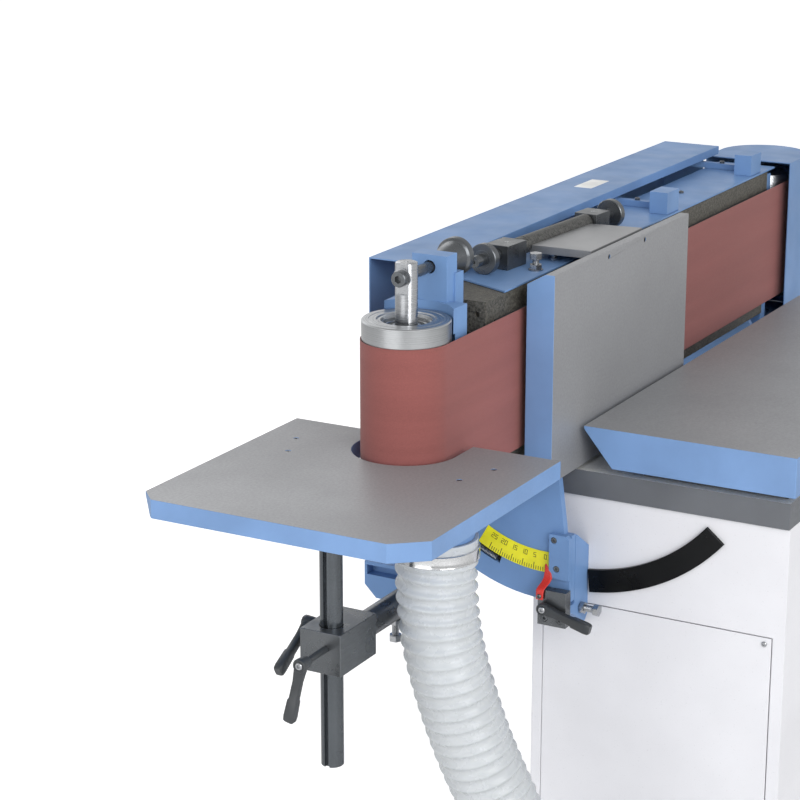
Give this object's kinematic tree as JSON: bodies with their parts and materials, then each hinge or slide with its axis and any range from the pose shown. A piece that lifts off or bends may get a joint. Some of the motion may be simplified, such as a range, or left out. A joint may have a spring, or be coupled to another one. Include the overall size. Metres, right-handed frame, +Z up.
{
  "type": "edge belt grinder",
  "caption": "Edge belt grinder with an upright abrasive belt, a tilting grinding unit, a fixed main table and a small notched table on a post at the idler end.",
  "frame": {"origin": "centre of the plinth's underside, on the floor", "axes": "+X along the machine from the idler end to the drive end, +Y to the back, +Z up"},
  "size_m": [1.74, 0.679, 1.1915],
  "materials": {
    "blue_paint": "satin powder coat",
    "white_paint": "satin powder coat",
    "ground_steel": "finely ground",
    "table_casting": "ground top, painted sides",
    "cast_dark": "rough cast",
    "black_steel": "blackened",
    "bright_steel": "turned and polished",
    "aluminium": "fine turned",
    "abrasive": "fine abrasive grain",
    "graphite": "graphite cloth",
    "black_plastic": "fine textured",
    "yellow_scale": "printed foil",
    "red_plastic": "glossy",
    "green_plastic": "glossy",
    "hose_plastic": "translucent",
    "motor_paint": "satin",
    "switch_plastic": "fine textured"
  },
  "bodies": {
    "base": {"base_plinth": "black_steel", "cabinet": "white_paint", "cabinet_end_panel": "white_paint", "hose_port": "black_plastic", "bed_plate": "ground_steel", "arc_rail": "black_plastic", "trunnion_bracket_left": "blue_paint", "trunnion_bracket_right": "blue_paint", "tilt_clamp_block": "black_steel", "tilt_pointer": "red_plastic", "tilt_stop_bolt": "bright_steel", "main_table": "table_casting", "table_support_left": "cast_dark", "table_support_right": "cast_dark", "switch_box": "switch_plastic"},
    "tilt_lever": {"tilt_clamp_lever": "black_plastic"},
    "start_button": {"start_button": "green_plastic"},
    "stop_button": {"stop_button": "red_plastic"},
    "unit": {"platen_beam": "cast_dark", "platen_pad": "graphite", "top_plate": "blue_paint", "quadrant_left": "blue_paint", "quadrant_right": "blue_paint", "tilt_scale": "yellow_scale", "rear_hood": "blue_paint", "hood_bracket_left": "blue_paint", "hood_bracket_right": "blue_paint", "drive_guard": "blue_paint", "abrasive_belt": "abrasive", "motor_mount": "blue_paint", "motor_body": "motor_paint", "fan_cowl": "black_plastic", "lower_beam": "blue_paint", "support_bar": "black_steel", "bar_lock_bolt": "bright_steel", "dust_scoop": "blue_paint", "hose_clamp": "bright_steel", "hose": "hose_plastic", "hinge_block_left": "black_steel", "hinge_block_right": "black_steel", "hinge_pin": "black_steel", "tension_spring": "bright_steel"},
    "fence": {"fence": "ground_steel", "fence_arm": "ground_steel"},
    "fence_stop_screw": {"fence_stop_screw": "bright_steel"},
    "idler_slide": {"idler_carriage": "blue_paint"},
    "idler_shaft": {"idler_shaft": "bright_steel", "tracking_rod": "black_steel", "tracking_screw": "black_steel"},
    "tracking_knob": {"tracking_knob": "black_steel"},
    "idler_roller": {"idler_roller": "aluminium", "upper_bearing": "bright_steel", "lower_bearing": "bright_steel"},
    "drive_roller": {"drive_roller": "aluminium"},
    "clamp_block": {"clamp_block": "black_steel"},
    "post_lever": {"post_clamp_lever": "black_plastic"},
    "bar_lever": {"bar_clamp_lever": "black_plastic"},
    "small_table": {"small_table": "table_casting", "table_post": "black_steel"}
  },
  "joints": [
    {"name": "unit_tilt", "type": "hinge", "parent": "base", "child": "unit", "pos_m": [0, 0.067, 0.904], "axis": [-1, 0, 0], "range_deg": [0, 20], "deforming": ["hose"]},
    {"name": "tilt_lever_turn", "type": "hinge", "parent": "base", "child": "tilt_lever", "pos_m": [-0.469, 0.0537, 0.647], "axis": [-1, 0, 0], "range_deg": [-90, 45]},
    {"name": "start_press", "type": "slide", "parent": "base", "child": "start_button", "axis": [0, 1, 0], "range_m": [0, 0.004]},
    {"name": "stop_press", "type": "slide", "parent": "base", "child": "stop_button", "axis": [0, 1, 0], "range_m": [0, 0.004]},
    {"name": "drive_spin", "type": "hinge", "parent": "unit", "child": "drive_roller", "pos_m": [0.613, 0.155, 0.93], "axis": [0, 0, 1], "continuous": true},
    {"name": "belt_tension", "type": "slide", "parent": "unit", "child": "idler_slide", "axis": [1, 0, 0], "range_m": [0, 0.02], "deforming": ["abrasive_belt", "tension_spring"]},
    {"name": "tracking_knob_turn", "type": "hinge", "parent": "idler_slide", "child": "tracking_knob", "pos_m": [-0.602, 0.155, 1.1655], "axis": [1, 0, 0], "range_deg": [-180, 180]},
    {"name": "tracking_tilt", "type": "hinge", "parent": "idler_slide", "child": "idler_shaft", "pos_m": [-0.695, 0.155, 0.847], "axis": [0, 1, 0], "range_deg": [-0.15, 0.15], "deforming": ["abrasive_belt"]},
    {"name": "idler_spin", "type": "hinge", "parent": "idler_shaft", "child": "idler_roller", "pos_m": [-0.695, 0.155, 0.93], "axis": [0, 0, 1], "continuous": true},
    {"name": "fence_square", "type": "hinge", "parent": "unit", "child": "fence", "pos_m": [-0.4376, 0.1736, 1.135], "axis": [-0.9973, 0.0731, 0], "range_deg": [0, 0.6]},
    {"name": "fence_stop_lift", "type": "slide", "parent": "unit", "child": "fence_stop_screw", "axis": [0, 0, 1], "range_m": [0, 0.0006]},
    {"name": "block_slide", "type": "slide", "parent": "unit", "child": "clamp_block", "axis": [-1, 0, 0], "range_m": [0, 0.02]},
    {"name": "bar_lever_turn", "type": "hinge", "parent": "clamp_block", "child": "bar_lever", "pos_m": [-0.86, 0.185, 0.73], "axis": [0, 1, 0], "range_deg": [-90, 45]},
    {"name": "post_lever_turn", "type": "hinge", "parent": "clamp_block", "child": "post_lever", "pos_m": [-0.922, 0.147, 0.725], "axis": [-1, 0, 0], "range_deg": [-90, 45]},
    {"name": "table_lift", "type": "slide", "parent": "clamp_block", "child": "small_table", "axis": [0, 0, 1], "range_m": [0, 0.1]}
  ],
  "couplings": [
    {"joint": "idler_spin", "follows": "drive_spin", "ratio": 1},
    {"joint": "tracking_knob_turn", "follows": "tracking_tilt", "ratio": 1143.5},
    {"joint": "fence_stop_lift", "follows": "fence_square", "m_per_rad": 0.0392}
  ]
}
